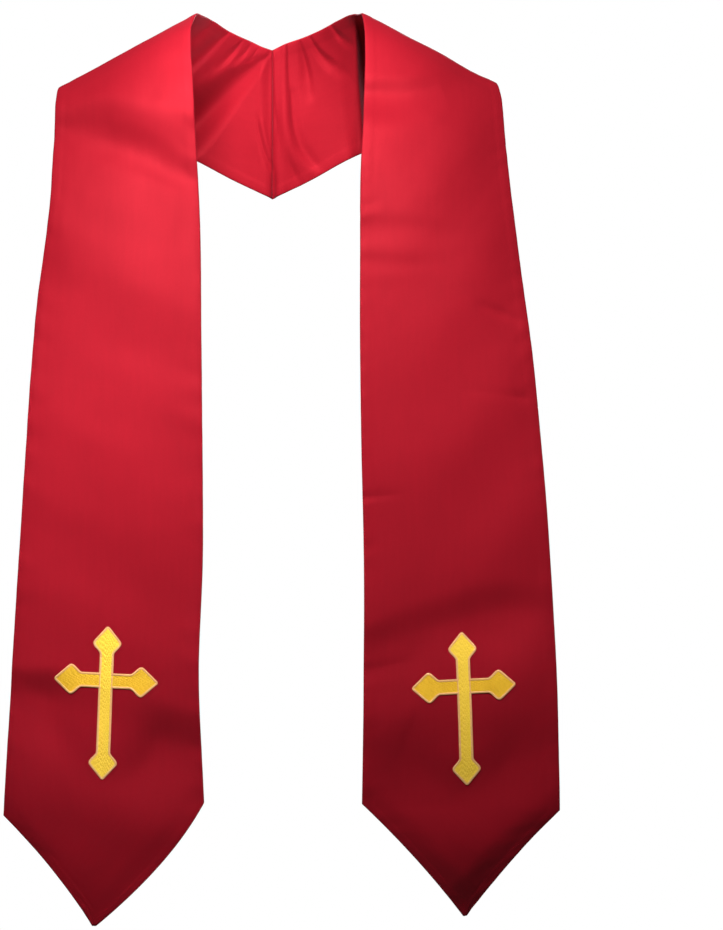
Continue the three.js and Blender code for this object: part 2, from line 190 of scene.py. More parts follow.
NECK_LEFT = [
    # the gathers on the wearer's left
    [(19.5, -14.9, 1, 3, 4), (23, -25.6, 2.2, 4, 7),
     (25.7, -37.9, 2.4, 5, 9), (27.4, -52.3, 1.2, 6, 11)],
    [(29.2, -10.5, 1.1, 2.5, 3), (35.4, -21.1, 2.2, 4, 6),
     (43.4, -30.1, 2, 6, 9), (51.3, -36.4, 0.8, 7, 10)],
    [(47.8, -0.8, 1, 3, 3), (53.1, -7.9, 1.9, 4, 5), (59.3, -14.2, 1.1, 5, 7)],
    # the crest behind the front edge, and the deep step down behind it
    [(64.6, 4.5, -1.5, 4, 14), (66.4, -14.9, -2.5, 4, 16), (68.1, -48.6, -2.5, 4, 16),
     (71.2, -81.3, -2.5, 4, 14), (73, -107, -2.5, 4, 12)],
    [(71.8, 8.1, 4, 30, 7), (74.2, -14.9, 17, 30, 8), (76.4, -48.6, 24, 30, 8),
     (79.6, -81.3, 22, 30, 7.5), (82.4, -108.7, 19, 30, 7.5)],
]
BACK_FOLDS = HOLLOW + SEAM + NECK_LEFT
print("folds behind the neck:", len(BACK_FOLDS))

# %% [markdown]
# ## The folds in front
#
# The panels hang by their own weight, so their folds are few, wide and only some millimetres deep. A
# hollow under each shoulder, another behind each cross, and the points of the hems, which fall back,
# are enough for the light to run over. Short creases start at the edges.

# %% The folds on the front panels, in millimetres
RIGHT_PANEL = [
    # the broad hollow under the shoulder, and a narrow one that deepens its middle
    [(-192, -108, -6, 34, 70), (-157.7, -113, -8.5, 44, 100), (-128.3, -122, -10, 48, 110),
     (-107.4, -131, -11.5, 56, 110), (-88.9, -141, -13.5, 74, 104), (-64, -152, -15, 94, 100)],
    [(-180, -111, -1, 20, 20), (-150, -116, -2.2, 24, 22), (-128.3, -123, -2.8, 26, 22),
     (-107.4, -132, -3, 26, 20), (-88.9, -142, -3, 24, 18), (-64, -152, -2.4, 22, 16)],
    # the cloth swells out above it
    [(-172, -78, 1.6, 34, 24), (-139, -72, 3.4, 40, 34), (-106, -82, 1.2, 42, 38)],
    # the panel falls back again below the chest
    [(-215, -232, -5.5, 90, 150), (-64, -242, -6.5, 90, 150)],
    # slow waves down the panel
    [(-213.4, -249.2, 0.5, 40, 40), (-66.2, -274, 0.5, 40, 40)],
    [(-206, -400, 0.7, 48, 48), (-66, -440, 0.7, 46, 46)],
    # the hollow that crosses the panel behind the cross
    [(-211.8, -578, -4, 26, 80), (-190, -582, -6.5, 32, 90), (-170, -589, -6.5, 34, 90),
     (-147.3, -598, -6, 36, 88), (-119.1, -611, -7.6, 40, 84), (-97.6, -620, -8.6, 42, 80),
     (-66.2, -627, -7.4, 40, 74)],
    # the hem's edges turn back a little
    [(-226.7, -679.4, -2.6, 18, 18), (-209.3, -700.1, -2.6, 16, 16), (-188.6, -722.4, -1, 14, 14)],
    [(-63.7, -669.5, -1.6, 22, 22), (-89.3, -704.2, -2, 22, 22),
     (-122.4, -737.3, -2, 20, 20), (-149.7, -762.1, -1.2, 16, 16)],
]
LEFT_PANEL = [
    # the short hollow under the shoulder, and the outer edge that turns back below it
    [(66, -74, -5.6, 19, 26), (93.9, -78, -7, 22, 30),
     (114.9, -76, -5, 20, 28), (137.6, -69, -1.8, 18, 24)],
    [(187, -104.4, -0.5, 34, 34), (193, -141.6, -1, 44, 44),
     (201, -191.3, -1, 44, 44), (207, -240.9, -0.5, 34, 34)],
    # short creases that start at an edge
    [(67, -191, -1.1, 15, 22), (96, -190, -1.1, 15, 22), (124.1, -193, -0.5, 13, 20)],
    [(67, -218, -0.5, 11, 11), (109.2, -220, -0.4, 11, 11)],
    [(170.4, -255, -0.4, 7, 6), (183.7, -259.9, -1, 8, 7), (195.2, -264.9, -0.5, 7, 6)],
    [(157.2, -324.5, -0.3, 7, 6), (201.9, -330.3, -0.5, 7, 6)],
    [(69.5, -413, -0.7, 5, 5), (99.3, -409.7, -0.3, 5, 5)],
    [(69.5, -554.5, -0.8, 6, 16), (100.9, -548.7, -0.4, 6, 14)],
    # the two hollows above and behind the cross
    [(69.5, -540.4, -2.6, 26, 60), (100.9, -532.1, -2.8, 28, 64), (135.7, -520.6, -2.8, 30, 66),
     (175.4, -509.8, -3.2, 30, 66), (200.2, -509, -3, 30, 66), (225, -512.3, -2.2, 28, 60)],
    [(69.5, -646, -4.6, 60, 70), (92, -656, -5.6, 80, 70), (114, -660, -5.2, 86, 74),
     (140, -660, -4.8, 84, 76), (167.1, -656, -4.6, 78, 76), (200.2, -644, -4.6, 64, 76),
     (231.6, -630, -4, 54, 76)],
    # the swell above the point, the point that drops away, and its two edges, which turn back
    [(76.1, -664, 1.6, 50, 30), (117.5, -690, 2.6, 70, 40), (152.2, -702, 3, 80, 46),
     (187.8, -690, 2.6, 70, 40), (228.3, -666, 1.6, 50, 30)],
    [(60, -830, -17, 250, 150), (156, -834, -18, 250, 150), (250, -830, -17, 250, 150)],
    [(72, -676, -3, 24, 24), (92, -700, -4.5, 30, 30),
     (120, -728, -5, 30, 30), (150, -756, -4, 26, 26)],
    [(233, -681, -3, 24, 24), (212, -704, -4.5, 30, 30),
     (186, -730, -5, 30, 30), (160, -756, -4, 26, 26)],
]
FRONT_FOLDS = RIGHT_PANEL + LEFT_PANEL
print("folds in front:", len(FRONT_FOLDS))

# %% [markdown]
# ## From a row of sections to a smooth edge
#
# A Catmull-Rom curve goes through every point it is given. The centripetal kind, which spaces its
# speed by the square root of the distance between points, doesn't overshoot where the points crowd
# together, as they do at the shoulder.


# %% A smooth curve through points
def through(points, places):
    """Centripetal Catmull-Rom curve through `points`, at fractional row numbers `places`.

    Each span is a cubic from one point to the next. Its slopes come from the neighbouring points, each
    weighted by the square root of its distance, and the ends carry on in a straight line.
    """
    points = np.vstack([2 * points[0] - points[1], points, 2 * points[-1] - points[-2]])
    step = np.sqrt(np.linalg.norm(np.diff(points, axis=0), axis=1))[:, None]
    span = np.clip(places.astype(int), 0, len(points) - 4)
    a, b, c, d = (points[span + k] for k in range(4))
    before, here, after = (step[span + k] for k in range(3))
    slope_b = here * ((b - a) / before - (c - a) / (before + here) + (c - b) / here)
    slope_c = here * ((c - b) / here - (d - b) / (here + after) + (d - c) / after)
    t = (places - span)[:, None]
    return (
        b
        + slope_b * t
        + (-3 * b + 3 * c - 2 * slope_b - slope_c) * t**2
        + (2 * b - 2 * c + slope_b + slope_c) * t**3
    )


def smooth_step(value, low, high):
    """0 below low, 1 above high, and an S-shaped cubic between them."""
    t = np.clip((value - low) / (high - low), 0, 1)
    return t * t * (3 - 2 * t)


# %% [markdown]
# ## The height of a fold
#
# Across its path a fold is one arch of a cosine, so that it leaves the cloth and comes back to it
# without a crease. Its two flanks can have different widths, which makes one of them steeper. Along
# the path the height and the widths change smoothly, and past either end the fold dies away.


# %% How high the folds stand at a place
PATH_FINENESS = 6  # points on a path for each of its stations


def fold_height(folds, x, z):
    """The sum of all folds at (x, z): for each, height * (1 + cos(pi * r)) / 2 where r < 1.

    r is the distance from the nearest point of the fold's path, counted in widths of the flank on
    that side. Past an end, the distance beyond it is counted in widths of the two flanks together.
    """
    total = np.zeros(x.size)
    seen = np.stack([x.ravel(), z.ravel()], axis=-1)
    for stations in folds:
        places = np.linspace(0, len(stations) - 1, PATH_FINENESS * len(stations))
        path = through(np.array(stations, float), places)
        reach = path[:, 3:].max() * 2  # both flanks together, past an end
        low, high = path[:, :2].min(0) - reach, path[:, :2].max(0) + reach
        near = np.flatnonzero(np.all((seen > low) & (seen < high), axis=1))
        run = np.diff(path, axis=0)
        length = np.linalg.norm(run[:, :2], axis=1)
        offset = seen[near, None] - path[None, :-1, :2]
        share = np.clip((offset * run[None, :, :2]).sum(2) / length**2, 0, 1)
        gap = offset - share[..., None] * run[None, :, :2]
        best = np.argmin((gap**2).sum(2), axis=1)
        each = np.arange(len(near))
        here = path[best] + share[each, best, None] * run[best]
        unit = run[best, :2] / length[best, None]
        gap = gap[each, best]
        past = (gap * unit).sum(1) / (here[:, 3] + here[:, 4])
        side = unit[:, 0] * gap[:, 1] - unit[:, 1] * gap[:, 0]
        r = np.minimum(np.hypot(side / np.where(side > 0, here[:, 3], here[:, 4]), past), 1)
        total[near] += here[:, 2] * 0.5 * (1 + np.cos(np.pi * r))
    return total.reshape(x.shape)


# %% [markdown]
# ## The middle surface of a strip
#
# Face and backing lie either side of one surface. Its rows are straight lines from the neck edge to
# the outer edge, spaced closely behind the neck, where the gathers are, and more widely in front.
# Below the hem's corners the two edges run together into the tip.


# %% The edges of a strip, and where its rows lie
BACK_STEP, FRONT_STEP, POINT_STEP = 1.35, 2.5, 2  # between rows, along the middle of the strip
MEASURED_AT = 900  # places in each part of the strip, to measure its length


def edges(sections, tip, side, places):
    """The neck edge, the outer edge and the bow at each place along a strip.

    In the point of the hem both edges run to the tip, arched a little along x, and y follows the square
    of the way down, so that the point falls back without a kink.
    """
    last = len(sections) - 1
    on_strip = np.minimum(places, last)
    neck = through(sections[:, NECK], on_strip)
    outer = through(sections[:, OUTER], on_strip)
    bow = np.interp(on_strip, np.arange(last + 1), sections[:, BOW])[:, None]
    point = np.clip(places - last, 0, 1)[:, None]
    arch = 4 * point * (1 - point) * np.array([1, 0, 0])
    blunt = np.array([side * TIP_WIDTH / 2, 0, 0])
    fall = np.hstack([point, point**2, point])
    neck = neck + (np.array(tip["at"]) - blunt - neck) * fall + tip["neck_shift"] * arch
    outer = outer + (np.array(tip["at"]) + blunt - outer) * fall + tip["outer_shift"] * arch
    return neck, outer, bow * (1 - point)


def row_places(sections, tip, side):
    """Where the rows lie: each is one step further along the middle of the strip than the last."""
    last = len(sections) - 1
    parts = []
    for start, end, step in (
        (0, PANEL, BACK_STEP),
        (PANEL, last, FRONT_STEP),
        (last, last + 1, POINT_STEP),
    ):
        fine = np.linspace(start, end, MEASURED_AT)
        neck, outer, _ = edges(sections, tip, side, fine)
        lengths = np.linalg.norm(np.diff((neck + outer) / 2, axis=0), axis=1)
        travelled = np.append(0, np.cumsum(lengths))
        count = int(np.ceil(travelled[-1] / step))
        parts.append(np.interp(np.linspace(0, travelled[-1], count + 1), travelled, fine)[:-1])
    return np.concatenate([*parts, [last + 1]])


# %% [markdown]
# ## Pressed satin is never quite flat
#
# It keeps a faint, slow wobble, and it puckers a little along its sewn edges. Both are sums of sine
# waves of random lengths, which look irregular because no part of them repeats.


# %% The direction out of the cloth, and its unevenness
WOBBLES = ((0.20, 60, 150, 8), (0.016, 16, 38, 10))  # height, shortest and longest wave, how many
WOBBLE_TURN = 0.6  # radians, by which most waves stray from the length of the strip
PUCKERS, SHORTEST_PUCKER, LONGEST_PUCKER = 9, 9, 30
PUCKER_SLOPE = 0.0022  # the height of a pucker, for each millimetre of its wave
PUCKER_FADES = (2, 25)  # how far inside the edge it starts to fade, and is gone


def normals(grid, side):
    """Unit vectors square to the cloth, away from the wearer: the cross product of its two directions."""
    along, across = (d / np.linalg.norm(d, axis=2, keepdims=True) for d in np.gradient(grid, axis=(0, 1)))
    square = side * np.cross(along, across)
    return square / np.linalg.norm(square, axis=2, keepdims=True)


def unevenness(length_along, from_neck, width, seed):
    """A slow, faint wobble, and a pucker along both edges.

    The wobble is a sum of long sine waves at random angles. The pucker is a sum of short ones along the
    strip, and fades to nothing about an inch inside the edge.
    """
    rng = np.random.default_rng(seed)
    wobble, pucker = np.zeros_like(length_along), np.zeros_like(length_along)
    for height, shortest, longest, count in WOBBLES:
        for _ in range(count):
            wave, angle = rng.uniform(shortest, longest), rng.normal(0, WOBBLE_TURN)
            phase = rng.uniform(0, 2 * np.pi)
            turned = length_along * np.cos(angle) + from_neck * np.sin(angle)
            wobble += height * np.sin(2 * np.pi * turned / wave + phase)
    for _ in range(PUCKERS):
        wave, phase = rng.uniform(SHORTEST_PUCKER, LONGEST_PUCKER), rng.uniform(0, 2 * np.pi)
        pucker += PUCKER_SLOPE * wave * np.sin(2 * np.pi * length_along / wave + phase)
    from_edge = np.minimum(from_neck, width[:, None] - from_neck)
    return wobble + pucker * (1 - smooth_step(from_edge, *PUCKER_FADES))


# %% [markdown]
# ## One half of the stole
#
# A strip keeps what the later steps need: its points, the direction out of the cloth at each, and how
# far each lies along and across the flat cut. The bow and the unevenness move the cloth square to
# itself. The folds move it straight towards or away from somebody in front, so that its outline stays
# where the sections put it. Embroidery stiffens cloth, so the folds are fainter beneath the cross.


# %% The strip as a grid of points
ACROSS_CELLS = 78  # from edge to edge
EDGE_COLUMNS = np.array([0, 0.0012, 0.0035, 0.0075])  # extra columns by each edge, for its roll
SEAM_CALM = 12  # the unevenness grows over this distance, so that the seam keeps its line
STIFF_WIDE, STIFF_TALL = 56, 82  # half the size of the ellipse that the cross stiffens
STIFF_BELOW = 18.7  # how far its middle lies below the crossing of the limbs
STIFF_SHARE = 0.45  # the share of its folds that the cloth keeps there
STIFF_FADES = (0.4, 0.9)  # in half sizes of the ellipse


def suppleness(x, z, cross):
    """The share of its folds that the cloth keeps: least in an ellipse round the cross, all outside."""
    away = np.hypot((x - cross["x"]) / STIFF_WIDE, (z - cross["z"] + STIFF_BELOW) / STIFF_TALL)
    return STIFF_SHARE + (1 - STIFF_SHARE) * smooth_step(away, *STIFF_FADES)


class Strip:
    """One half of the stole: its grid of points, its normals and its cut, in millimetres."""

    def __init__(self, sections, tip, side, cross, seed):
        self.sections, self.tip, self.side = sections, tip, side
        self.places = row_places(sections, tip, side)
        middle = np.linspace(0, 1, ACROSS_CELLS + 1)[1:-1]
        self.columns = np.concatenate([EDGE_COLUMNS, middle, 1 - EDGE_COLUMNS[::-1]])
        neck, outer, bow = edges(sections, tip, side, self.places)
        across = self.columns[None, :, None]
        ruled = neck[:, None] * (1 - across) + outer[:, None] * across
        self.width = np.linalg.norm(outer - neck, axis=1)
        steps = np.linalg.norm(np.diff(ruled, axis=0), axis=2)
        self.along = np.vstack([np.zeros(len(self.columns)), np.cumsum(steps, axis=0)])
        self.from_neck = self.columns[None] * self.width[:, None]

        calm = smooth_step(self.along, 0, SEAM_CALM)
        out = bow * 4 * self.columns * (1 - self.columns)
        out = out + calm * unevenness(self.along, self.from_neck, self.width, seed)
        place, x, z = self.places[:, None], ruled[..., 0], ruled[..., 2]
        behind = 1 - smooth_step(place, *BACK_FADES)
        before = smooth_step(place, SHOULDER, PANEL) * suppleness(x, z, cross)
        folds = behind * fold_height(BACK_FOLDS, x, z) - before * fold_height(FRONT_FOLDS, x, z)
        self.grid = ruled + out[..., None] * normals(ruled, side) + folds[..., None] * [0, 1, 0]

        self.normal = normals(self.grid, side)
        self.normal[0, :, 0] = 0  # the seam stays in its plane
        self.normal[0] /= np.linalg.norm(self.normal[0], axis=1, keepdims=True)


# %% [markdown]
# ## The crosses' places
#
# Each cross leans with its panel, the tops towards the middle. Its place is settled before the cloth,
# because the stitching keeps the satin beneath it flat.

# %% Where the crosses lie, and the two strips
RIGHT_CROSS = {"x": -141.7, "z": -563.5, "lean": np.radians(-2.6)}
LEFT_CROSS = {"x": 153.2, "z": -568.4, "lean": np.radians(2.4)}

right_strip = Strip(RIGHT_SECTIONS, RIGHT_TIP, -1, RIGHT_CROSS, seed=3)
left_strip = Strip(LEFT_SECTIONS, LEFT_TIP, 1, LEFT_CROSS, seed=8)
for name, strip in (("right", right_strip), ("left", left_strip)):
    neck_edge, outer_edge = strip.along[-1, 0], strip.along[-1, -1]
    print(f"{name} strip: {strip.grid.shape[:2]} points, edges {neck_edge:.0f} and {outer_edge:.0f} mm,"
          f" widest {strip.width.max():.0f} mm")

# %% [markdown]
# ## From a grid to a layer of cloth
#
# A layer is a closed shell: the skin that shows, the skin that hides, and a rim all round. The outer
# skin rolls over at the edges, where the cloth was turned and pressed, and it stands a little thicker
# over the seam allowance inside. It sinks into a groove at the centre-back seam.

# %% How far the skins stand off the middle surface, in millimetres
LAYER, RIM, INNER = 0.85, 0.1, 0.03  # the outer skin, its very edge, and the hidden skin
ROLL = 1.3  # how wide the rolled edge is
GROOVE = 1.6  # how wide one side of the seam's groove is
TURNED = (7.8, 10.2)  # how far inside the edge the seam allowance ends, as a soft step
TURNED_RISE, TURNED_FROM = 0.22, 4  # how much it lifts the skin, and where it does so fully
PRESSED = (11.5, 13.5)  # where the allowance of the centre-back seam ends
PRESSED_RISE = 0.25  # and how much that one lifts the skin


def quarter_round(distance, width):
    """A quarter of an ellipse, from 0 at an edge to 1 at `width` inside it."""
    return np.sqrt(1 - (1 - np.clip(distance / width, 0, 1)) ** 2)


def skin_heights(strip):
    """How far the outer skin stands off: a quarter ellipse at the edges, one soft step inside them."""
    from_edge = np.minimum(strip.from_neck, strip.width[:, None] - strip.from_neck)
    from_edge = np.minimum(from_edge, strip.along[-1][None] - strip.along)
    turned = 1 - smooth_step(from_edge, *TURNED)
    seam = quarter_round(strip.along, GROOVE)
    pressed = 1 - smooth_step(strip.along, *PRESSED)
    height = LAYER * seam + TURNED_RISE * turned * smooth_step(from_edge, 0, TURNED_FROM)
    height = height + PRESSED_RISE * pressed * seam
    return RIM + (height - RIM).clip(0) * quarter_round(from_edge, ROLL)


# %% [markdown]
# ## Quads for a closed shell
#
# A grid of points needs only the numbers of its corners to become a surface. Two grids of the same
# size, the second turned over, and a rim of quads between them make a shell without a gap.


# %% Faces as arrays of corner numbers
def grid_faces(rows, columns, first=0):
    """The corner numbers of every cell of a grid of points, as one array of quads."""
    number = first + np.arange(rows * columns).reshape(rows, columns)
    corners = [number[:-1, :-1], number[1:, :-1], number[1:, 1:], number[:-1, 1:]]
    return np.stack(corners, axis=-1).reshape(-1, 4)


def rim_faces(rows, columns):
    """Quads that join the rims of two grids of points that follow each other in one list."""
    number = np.arange(rows * columns).reshape(rows, columns)
    loop = np.concatenate([number[:, 0], number[-1, 1:], number[-2::-1, -1], number[0, -2:0:-1]])
    onward = np.roll(loop, -1)
    return np.stack([loop, loop + rows * columns, onward + rows * columns, onward], axis=-1)


def outward(points, faces):
    """The same faces, all turned round if they enclose a negative volume.

    Six times the volume is the sum of a . (b x c) + a . (c x d) over all quads a, b, c, d.
    """
    a, b, c, d = (points[faces[:, k]] for k in range(4))
    volume = np.einsum("ij,ij->", a, np.cross(b, c)) + np.einsum("ij,ij->", a, np.cross(c, d))
    return faces if volume > 0 else faces[:, ::-1]


def shell(top, bottom):
    """Points and outward quads of a closed shell between two grids of points."""
    points = np.concatenate([top.reshape(-1, 3), bottom.reshape(-1, 3)])
    rows, columns = top.shape[:2]
    faces = np.concatenate([
        grid_faces(rows, columns),
        grid_faces(rows, columns, rows * columns)[:, ::-1],
        rim_faces(rows, columns),
    ])
    return points, outward(points, faces)


# %% [markdown]
# ## The four layers of satin
#
# Whole arrays go into a mesh at once. Each layer also keeps the coordinates of its flat cut, in
# metres, so that the weave can follow the strip round the neck and over the shoulder.


# %% Face and backing of both strips
def make_piece(name, points, faces, uv=None):
    """A smooth mesh object from points in millimetres and quads; uv has one pair for each point."""
    mesh = bpy.data.meshes.new(name)
    mesh.vertices.add(len(points))
    mesh.vertices.foreach_set("co", (points * MM).ravel())
    mesh.loops.add(faces.size)
    mesh.loops.foreach_set("vertex_index", faces.ravel())
    mesh.polygons.add(len(faces))
    mesh.polygons.foreach_set("loop_start", np.arange(len(faces)) * 4)  # four corners each
    mesh.polygons.foreach_set("use_smooth", np.ones(len(faces), bool))
    if uv is not None:
        layer = mesh.uv_layers.new(name="cut")
        layer.data.foreach_set("uv", uv[faces.ravel()].ravel())
    mesh.update(calc_edges=True)
    mesh.validate()
    piece = bpy.data.objects.new(name, mesh)
    bpy.context.scene.collection.objects.link(piece)
    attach(piece, "root")
    print(f"{name}: {2 * len(faces)} triangles")
    return piece


def cloth_layer(name, strip, out):
    """One layer of a strip: out is 1 for the face, away from the wearer, and -1 for the backing."""
    top = strip.grid + out * skin_heights(strip)[..., None] * strip.normal
    bottom = strip.grid + out * INNER * strip.normal
    cut = np.stack([strip.from_neck, strip.along], axis=-1).reshape(-1, 2) * MM
    return make_piece(name, *shell(top, bottom), uv=np.vstack([cut, cut]))


right_face = cloth_layer("right_satin_face", right_strip, 1)
right_lining = cloth_layer("right_satin_backing", right_strip, -1)
left_face = cloth_layer("left_satin_face", left_strip, 1)
left_lining = cloth_layer("left_satin_backing", left_strip, -1)

# %% [markdown]
# ## Writing shader maths as Python
#
# A material is a graph of nodes. Written out node by node, a formula disappears among links, so this
# small class wraps an output socket and turns `+` and `*` on it into Math nodes. One method makes any
# other node.


# %% A socket that does arithmetic
class Wire:
    """An output socket. Arithmetic on it adds Math nodes to its material."""

    def __init__(self, finish, socket):
        self.finish, self.socket = finish, socket

    def math(self, operation, first, second):
        return self.finish.node("ShaderNodeMath", {"operation": operation}, {0: first, 1: second})

    def __add__(self, other):
        return self.math("ADD", self, other)

    def __mul__(self, other):
        return self.math("MULTIPLY", self, other)

    __radd__, __rmul__ = __add__, __mul__


class Finish:
    """A material that is being wired: a Principled shader, and whatever nodes feed it."""

    def __init__(self, name, **constants):
        self.material = bpy.data.materials.new(name)
        self.material.use_nodes = True
        self.tree = self.material.node_tree
        self.shader = self.tree.nodes["Principled BSDF"]
        for socket, value in constants.items():
            self.shader.inputs[socket.replace("_", " ")].default_value = value

    def node(self, kind, settings=None, inputs=None, output=0):
        """Adds a node, sets its settings, then gives its sockets a value or a link."""
        made = self.tree.nodes.new(kind)
        for key, value in (settings or {}).items():
            setattr(made, key, value)
        for socket, value in (inputs or {}).items():
            self.give(made.inputs[socket], value)
        return Wire(self, made.outputs[output])

    def give(self, socket, value):
        if isinstance(value, Wire):
            self.tree.links.new(value.socket, socket)
        else:
            socket.default_value = value

    def feed(self, socket, value):
        self.give(self.shader.inputs[socket], value)

    def blend(self, share, first, second):
        """A colour between two others, by the share of the second.

        The Mix node's colours are its inputs 6 and 7 and its output 2.
        """
        return self.node("ShaderNodeMix", {"data_type": "RGBA"}, {0: share, 6: first, 7: second}, output=2)

    def cut_noise(self, scale_across, scale_along, detail=2.0):
        """Noise in the coordinates of the flat cut, with its own grain across and along the strip."""
        cut = self.node("ShaderNodeUVMap", {"uv_map": "cut"})
        scale = (scale_across, scale_along, 1)
        stretched = self.node("ShaderNodeMapping", None, {"Vector": cut, "Scale": scale})
        return self.node("ShaderNodeTexNoise", {"noise_dimensions": "2D"},
                         {"Vector": stretched, "Scale": 1.0, "Detail": detail, "Roughness": 0.6})


# %% [markdown]
# ## Satin
#
# Bridal satin has long threads lying on its face. They scatter most of the light softly and give back
# some of it as a broad gloss in the cloth's own red, which is what a little Metallic with a high
# Roughness does. A weak pink sheen lightens the cloth where it turns away from the eye. The weave is
# far finer than the folds: here it is a faint grain in relief, longer along the threads, with slightly
# thicker threads now and then.


# %% The satin's finish
SATIN_RED, SATIN_SHADE = (0.302, 0.0066, 0.0155, 1), (0.214, 0.0041, 0.0100, 1)
PATCHES, THREADS, SLUBS = (14, 9), (2600, 420), (260, 34)  # grains in a metre, across and along


def satin(name):
    """Deep red satin: two close reds in slow patches, a fine grain in relief, and a coloured gloss."""
    finish = Finish(name, Metallic=0.2, Sheen_Weight=0.11, Sheen_Roughness=0.4,
                    Sheen_Tint=(0.75, 0.4, 0.5, 1), Specular_IOR_Level=0.05)
    patches = finish.cut_noise(*PATCHES)
    threads = finish.cut_noise(*THREADS, detail=3)
    slubs = finish.cut_noise(*SLUBS)
    grain = threads * 0.65 + slubs * 0.35  # two parts of fine grain to one of thicker threads
    finish.feed("Base Color", finish.blend(patches * 0.5 + grain * 0.5, SATIN_RED, SATIN_SHADE))
    finish.feed("Roughness", 0.52 + 0.14 * grain)
    relief = {"Strength": 0.22, "Distance": 0.00025, "Height": grain}
    finish.feed("Normal", finish.node("ShaderNodeBump", None, relief))
    return finish.material


face_satin, backing_satin = satin("red_satin"), satin("red_satin_backing")
print("satin:", face_satin.name, "and", backing_satin.name)
for piece in (right_face, left_face):
    piece.data.materials.append(face_satin)
for piece in (right_lining, left_lining):
    piece.data.materials.append(backing_satin)

# %% [markdown]
# ## The crosses: an outline made of limbs
#
# Each cross is a budded one, an ordinary church ornament. A limb is a straight stem that swells into a
# lozenge and closes to a point. One function gives the half-width of a limb at any distance from the
# middle of the crossing, and everything else follows it: the padding, the threads and the edging.

# %% The half-widths of the limbs, in millimetres
UPRIGHT = {"stem": 4.95, "bud": 10.7}
ARM = {"stem": 5.3, "bud": 11.5}
REACH_UP, REACH_DOWN, REACH_SIDEWAYS = 43.8, 81.6, 42.0
BUD_LENGTH = 21.5
BUD_ALONG = np.array([0, 0.07, 0.14, 0.22, 0.3, 0.36, 0.40, 0.45, 0.52, 0.94, 0.98, 1.0])
BUD_SWELL = np.array([0, 0.12, 0.32, 0.60, 0.86, 0.98, 1.0, 0.96, 0.86, 0.14, 0.07, 0.0])
CLOSES_FROM = 0.45  # past this share of the bud's length, stem and bud close to the point together


def limb_half_width(distance, limb, reach):
    """The stem's half-width up to the neck of the bud, then the bud's swelling, then nothing."""
    along = (distance - (reach - BUD_LENGTH)) / BUD_LENGTH
    swell = np.interp(along, BUD_ALONG, BUD_SWELL)
    opening = limb["stem"] + (limb["bud"] - limb["stem"]) * swell
    return np.where(along < CLOSES_FROM, opening, limb["bud"] * swell)


def upright_half_width(up):
    return np.where(up > 0, limb_half_width(up, UPRIGHT, REACH_UP), limb_half_width(-up, UPRIGHT, REACH_DOWN))


def arm_half_width(sideways):
    return limb_half_width(np.abs(sideways), ARM, REACH_SIDEWAYS)


print("cross, mm:", REACH_UP + REACH_DOWN, "tall,", 2 * REACH_SIDEWAYS, "wide")

# %% [markdown]
# ## From the cross to the cloth
#
# A point of the cross is given as steps sideways and up from its middle. It is turned by the lean, and
# the place on the strip that is seen there is found by halving an interval, for all points at once.
# The strip's own grid then gives the point and the direction out of the cloth.


# %% Laying points on a panel
HALVINGS = 30  # of the interval that holds the place, down to far less than a thread


def on_panel(strip, cross, sideways, up, lift):
    """Points on the face of a panel, `lift` millimetres above its skin."""
    x = cross["x"] + sideways * np.cos(cross["lean"]) - up * np.sin(cross["lean"])
    z = cross["z"] + sideways * np.sin(cross["lean"]) + up * np.cos(cross["lean"])
    shape = x.shape
    x, z = x.ravel(), z.ravel()
    low = np.full_like(x, PANEL)
    high = np.full_like(x, len(strip.sections) - 1)
    for _ in range(HALVINGS):
        place = (low + high) / 2
        neck, outer, _ = edges(strip.sections, strip.tip, strip.side, place)
        across = (x - neck[:, 0]) / (outer[:, 0] - neck[:, 0])
        above = neck[:, 2] + (outer[:, 2] - neck[:, 2]) * across > z
        low, high = np.where(above, place, low), np.where(above, high, place)
    row = np.interp(low, strip.places, np.arange(len(strip.places)))
    column = np.interp(across, strip.columns, np.arange(len(strip.columns)))
    point, normal = (sample(values, row, column) for values in (strip.grid, strip.normal))
    normal /= np.linalg.norm(normal, axis=1, keepdims=True)
    return (point + (LAYER + lift.ravel())[:, None] * normal).reshape(*shape, 3)


def sample(values, row, column):
    """Values of a grid between its points: the four corners of the cell, each by its nearness."""
    i = np.clip(row.astype(int), 0, values.shape[0] - 2)
    j = np.clip(column.astype(int), 0, values.shape[1] - 2)
    u, v = (row - i)[:, None], (column - j)[:, None]
    upper = values[i, j] * (1 - v) + values[i, j + 1] * v
    lower = values[i + 1, j] * (1 - v) + values[i + 1, j + 1] * v
    return upper * (1 - u) + lower * u


# %% [markdown]
# ## Threads
#
# Machine embroidery fills a shape with rows of stitches a few millimetres long, laid like bricks. Each
# stitch here is a spindle with four sides: it rises from the cloth, lies level, and dips back in. All
# the stitches of a piece are one joined mesh, made from arrays of starts and ends.

# %% Stitches from arrays of starts and ends
THREAD_HALF_WIDTH, THREAD_HALF_HEIGHT = 0.25, 0.17
STITCH_STOPS = np.array([0.0, 0.12, 0.5, 0.88, 1.0])  # where its rings lie, as a share of its length
STITCH_GIRTH = np.array([0.5, 0.95, 1.0, 0.95, 0.5])  # in thread widths, at each ring
STITCH_RISE = np.array([-0.45, 0.05, 0.2, 0.05, -0.45])  # in thread heights
RING = 4  # corners


